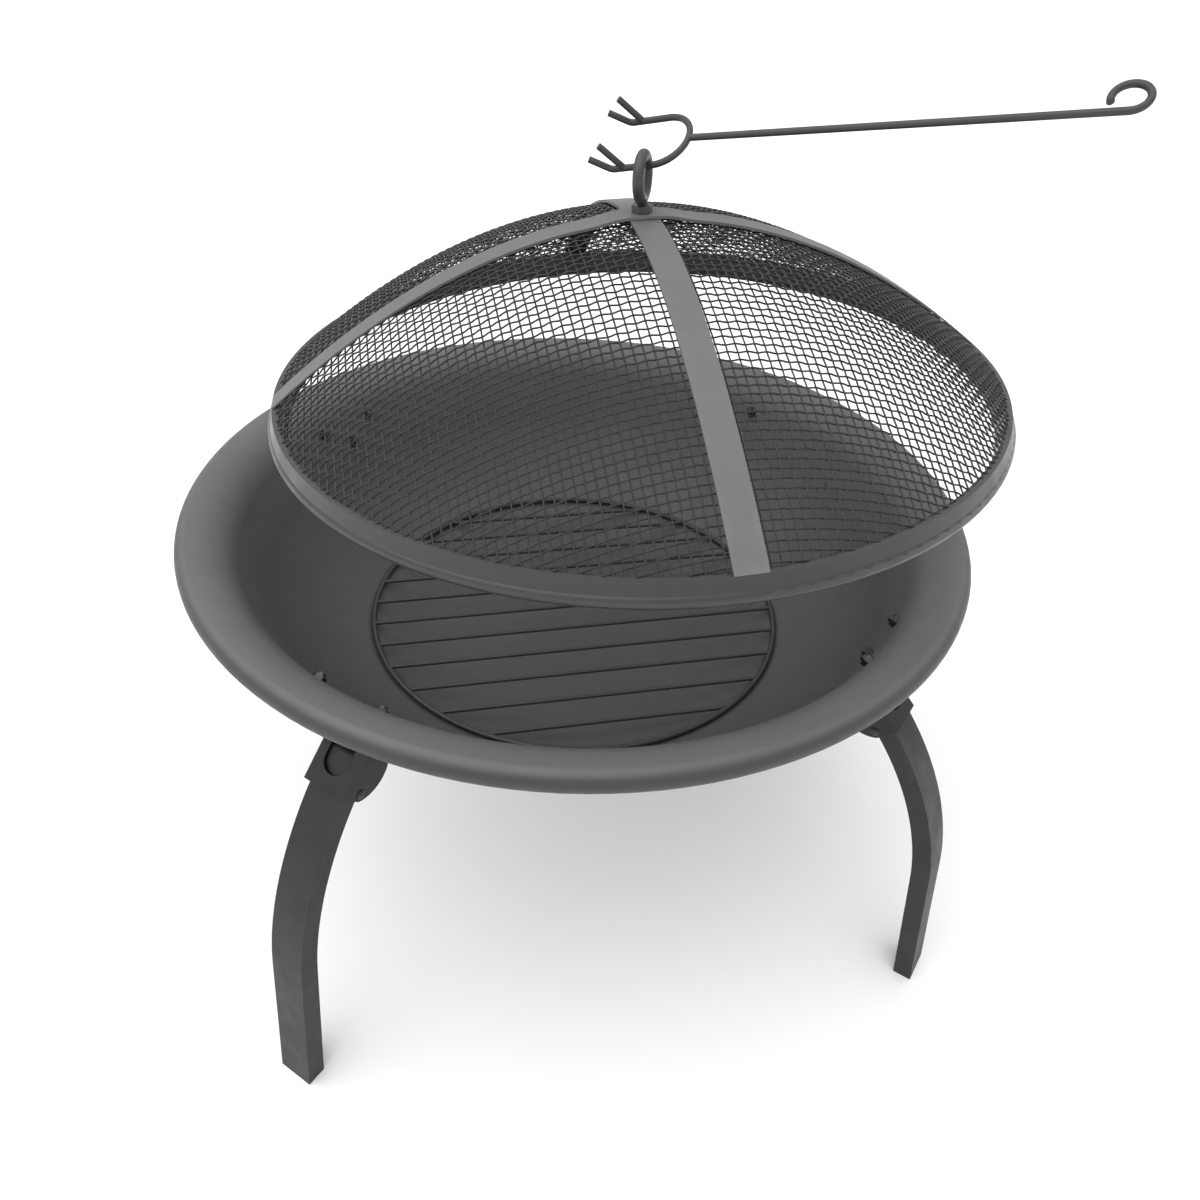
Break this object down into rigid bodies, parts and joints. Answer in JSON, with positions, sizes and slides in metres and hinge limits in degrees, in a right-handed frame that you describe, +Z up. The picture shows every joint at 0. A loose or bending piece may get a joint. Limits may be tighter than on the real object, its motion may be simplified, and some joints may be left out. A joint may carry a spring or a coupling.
{
  "type": "folding fire bowl with grate, mesh lid and poker",
  "caption": "Round steel fire bowl on fold-in curved legs, with a lift-out wire grate and a domed wire-mesh spark lid held up on a forked hand poker.",
  "frame": {"origin": "on the ground under the bowl's axis, midway between the four feet", "axes": "+Z up, -Y towards the front, +X to the right; the legs stand at 45 degrees to X and Y, and the lid's straps and the grate's bars run along X and Y"},
  "size_m": [0.56, 0.5598, 0.6138],
  "materials": {
    "bowl_coat": "satin charcoal powder coat",
    "leg_coat": "satin black powder coat",
    "bracket_coat": "satin black powder coat",
    "pin_steel": "dull steel",
    "stud_black": "black",
    "screw_zinc": "dark plated steel",
    "grate_wire": "satin dark coat",
    "lid_coat": "satin black powder coat",
    "lid_mesh_wire": "black coated wire",
    "strap_coat": "satin black powder coat",
    "handle_coat": "satin black powder coat",
    "poker_coat": "satin black powder coat"
  },
  "bodies": {
    "bowl": {"bowl": "bowl_coat", "leg_bracket_front_right": "bracket_coat", "pivot_pin_front_right": "pin_steel", "detent_studs_front_right": "stud_black", "bracket_screws_front_right": "screw_zinc", "bracket_nuts_front_right": "screw_zinc", "leg_bracket_back_right": "bracket_coat", "pivot_pin_back_right": "pin_steel", "detent_studs_back_right": "stud_black", "bracket_screws_back_right": "screw_zinc", "bracket_nuts_back_right": "screw_zinc", "leg_bracket_back_left": "bracket_coat", "pivot_pin_back_left": "pin_steel", "detent_studs_back_left": "stud_black", "bracket_screws_back_left": "screw_zinc", "bracket_nuts_back_left": "screw_zinc", "leg_bracket_front_left": "bracket_coat", "pivot_pin_front_left": "pin_steel", "detent_studs_front_left": "stud_black", "bracket_screws_front_left": "screw_zinc", "bracket_nuts_front_left": "screw_zinc"},
    "leg_front_right": {"leg_front_right": "leg_coat"},
    "leg_back_right": {"leg_back_right": "leg_coat"},
    "leg_back_left": {"leg_back_left": "leg_coat"},
    "leg_front_left": {"leg_front_left": "leg_coat"},
    "grate": {"grate_ring": "grate_wire", "grate_bar_01": "grate_wire", "grate_bar_02": "grate_wire", "grate_bar_03": "grate_wire", "grate_bar_04": "grate_wire", "grate_bar_05": "grate_wire", "grate_bar_06": "grate_wire", "grate_bar_07": "grate_wire", "grate_bar_08": "grate_wire", "grate_bar_09": "grate_wire", "grate_bar_10": "grate_wire", "grate_bar_11": "grate_wire"},
    "poker": {"poker_rod": "poker_coat", "poker_fork": "poker_coat", "poker_tine_near": "poker_coat", "poker_tine_far": "poker_coat"},
    "lid": {"lid_rim": "lid_coat", "lid_mesh": "lid_mesh_wire", "lid_strap_front_to_back": "strap_coat", "lid_strap_side_to_side": "strap_coat", "lid_handle_eye": "handle_coat", "lid_handle_collar": "handle_coat", "lid_handle_washer": "handle_coat", "lid_handle_nut": "handle_coat"}
  },
  "joints": [
    {"name": "leg_fold_front_right", "type": "hinge", "parent": "bowl", "child": "leg_front_right", "pos_m": [0.17289, -0.17289, 0.244], "axis": [0.7071, 0.7071, 0], "range_deg": [0, 90]},
    {"name": "leg_fold_back_right", "type": "hinge", "parent": "bowl", "child": "leg_back_right", "pos_m": [0.17289, 0.17289, 0.244], "axis": [-0.7071, 0.7071, 0], "range_deg": [0, 86]},
    {"name": "leg_fold_back_left", "type": "hinge", "parent": "bowl", "child": "leg_back_left", "pos_m": [-0.17289, 0.17289, 0.244], "axis": [-0.7071, -0.7071, 0], "range_deg": [0, 82]},
    {"name": "leg_fold_front_left", "type": "hinge", "parent": "bowl", "child": "leg_front_left", "pos_m": [-0.17289, -0.17289, 0.244], "axis": [0.7071, -0.7071, 0], "range_deg": [0, 78]},
    {"name": "grate_lift", "type": "slide", "parent": "bowl", "child": "grate", "axis": [0, 0, 1], "range_m": [0, 0.145]},
    {"name": "poker_lift", "type": "slide", "parent": "bowl", "child": "poker", "axis": [0.2817, -0.0599, 0.9576], "range_m": [-0.1037, 0.06]},
    {"name": "lid_tilt", "type": "hinge", "parent": "poker", "child": "lid", "pos_m": [0.02921, -0.00621, 0.53976], "axis": [0.2079, 0.9781, 0], "range_deg": [-2, 3.1]}
  ],
  "couplings": [
    {"joint": "lid_tilt", "follows": "poker_lift", "rad_per_m": -0.49651}
  ]
}
